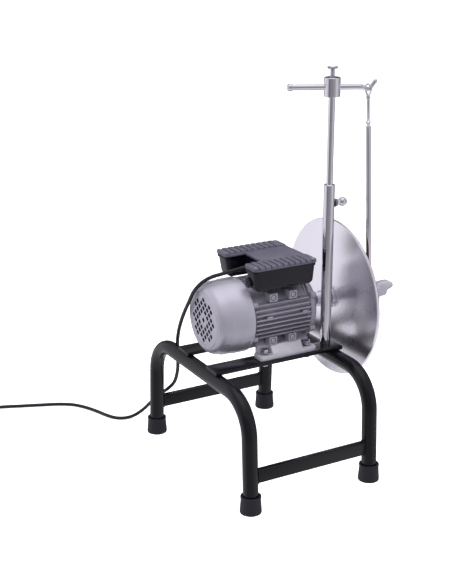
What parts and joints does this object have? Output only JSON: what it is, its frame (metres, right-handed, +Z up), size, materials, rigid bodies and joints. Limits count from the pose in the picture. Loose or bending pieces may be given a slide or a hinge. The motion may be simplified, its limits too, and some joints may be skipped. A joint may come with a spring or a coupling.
{
  "type": "shearing comb and cutter grinder",
  "caption": "Electric blade grinder: a motor on a bent-tube stand turns a bright metal disc, with a post, crossbar and hanging blade holder.",
  "frame": {"origin": "on the floor, under the middle of the machine's box without its mains lead", "axes": "+Z up, +Y from the grinding side of the disc back along the motor shaft, +X to the operator's right when facing the disc"},
  "size_m": [0.7508, 0.6939, 0.7366],
  "materials": {
    "black_paint": "gloss black powder coat",
    "rubber": "matte charcoal rubber",
    "cast_grey": "silver-grey paint on die-cast aluminium",
    "cover_grey": "silver-grey paint on pressed sheet",
    "chrome": "bright plating",
    "turned_aluminium": "bright turned face",
    "zinc_steel": "zinc plated",
    "dark_steel": "plain dark steel",
    "copper_wire": "enamelled copper winding",
    "black_plastic": "satin black moulding",
    "lid_plastic": "satin charcoal moulding",
    "pale_casting": "light grey as-cast aluminium",
    "grit": "brown abrasive paper",
    "cord_black": "black flexible lead"
  },
  "bodies": {
    "stand": {"front_arch": "black_paint", "rear_arch": "black_paint", "left_top_rail": "black_paint", "right_top_rail": "black_paint", "left_lower_rail": "black_paint", "right_lower_rail": "black_paint", "foot_cap_front_left": "rubber", "foot_cap_front_right": "rubber", "foot_cap_rear_left": "rubber", "foot_cap_rear_right": "rubber", "motor_housing": "cast_grey", "front_end_shield": "cast_grey", "rear_end_shield": "cast_grey", "fan_cover": "cover_grey", "stator_core": "dark_steel", "front_winding": "copper_wire", "rear_winding": "copper_wire", "front_bearing": "zinc_steel", "rear_bearing": "zinc_steel", "foot_bolt_front_left": "zinc_steel", "foot_bolt_rear_left": "zinc_steel", "foot_bolt_front_right": "zinc_steel", "foot_bolt_rear_right": "zinc_steel", "motor_foot_left": "pale_casting", "motor_foot_right": "pale_casting", "capacitor_box": "black_plastic", "box_lid": "lid_plastic", "start_capacitor": "turned_aluminium", "run_capacitor": "turned_aluminium", "terminal_block": "black_plastic", "cable_gland": "cord_black", "post_tube": "chrome", "clamp_nut": "dark_steel", "power_cord": "cord_black", "cord_coil": "cord_black", "power_plug": "cord_black"},
    "rotor": {"rotor_shaft": "zinc_steel", "rotor_core": "dark_steel", "centrifugal_switch": "zinc_steel", "cooling_fan": "black_plastic", "disc_hub": "turned_aluminium", "grinding_disc": "turned_aluminium", "abrasive_sheet": "grit", "disc_bolt": "zinc_steel"},
    "height_clamp": {"height_clamp_screw": "chrome"},
    "mast": {"post_rod": "chrome"},
    "head": {"head_block": "chrome"},
    "bar": {"crossbar": "chrome", "crossbar_cap": "chrome"},
    "wing": {"wing_screw": "zinc_steel"},
    "eye": {"wire_eye": "chrome"},
    "hanger": {"hanger_rod": "chrome"},
    "pendulum": {"pendulum_rod": "chrome", "rod_end": "pale_casting", "pivot_bolt": "zinc_steel", "pivot_nut": "zinc_steel"},
    "holder": {"comb_holder": "pale_casting", "holder_magnet": "dark_steel", "holder_handle": "pale_casting"}
  },
  "joints": [
    {"name": "rotor_spin", "type": "hinge", "parent": "stand", "child": "rotor", "pos_m": [0, -0.08725, 0.2938], "axis": [0, 1, 0], "continuous": true},
    {"name": "height_clamp_turn", "type": "hinge", "parent": "stand", "child": "height_clamp", "pos_m": [-0.048, -0.07725, 0.491], "axis": [0, 1, 0], "range_deg": [-360, 0]},
    {"name": "mast_slide", "type": "slide", "parent": "stand", "child": "mast", "axis": [0, 0, 1], "range_m": [-0.1, 0.06]},
    {"name": "head_swivel", "type": "hinge", "parent": "mast", "child": "head", "pos_m": [-0.048, -0.07725, 0.7], "axis": [0, 0, 1], "range_deg": [0, 25]},
    {"name": "crossbar_slide", "type": "slide", "parent": "head", "child": "bar", "axis": [-0.4289, -0.9033, 0], "range_m": [0, 0.04]},
    {"name": "wing_screw_turn", "type": "hinge", "parent": "head", "child": "wing", "pos_m": [-0.048, -0.07725, 0.72], "axis": [0, 0, 1], "range_deg": [-360, 0]},
    {"name": "eye_tilt", "type": "hinge", "parent": "bar", "child": "eye", "pos_m": [-0.07524, -0.13461, 0.6956], "axis": [-1, 0, 0], "range_deg": [0, 15]},
    {"name": "hanger_yaw", "type": "hinge", "parent": "eye", "child": "hanger", "pos_m": [-0.07543, -0.13519, 0.68111], "axis": [0.0135, 0.0397, 0.9991], "range_deg": [-25, 0]},
    {"name": "pendulum_swing", "type": "hinge", "parent": "hanger", "child": "pendulum", "pos_m": [-0.07607, -0.13708, 0.63355], "axis": [0, 1, 0], "range_deg": [-15, 15]},
    {"name": "holder_turn", "type": "hinge", "parent": "pendulum", "child": "holder", "pos_m": [-0.08, -0.14865, 0.333], "axis": [0, 1, 0], "range_deg": [-20, 20]}
  ],
  "couplings": [
    {"joint": "hanger_yaw", "follows": "head_swivel", "ratio": -1}
  ]
}
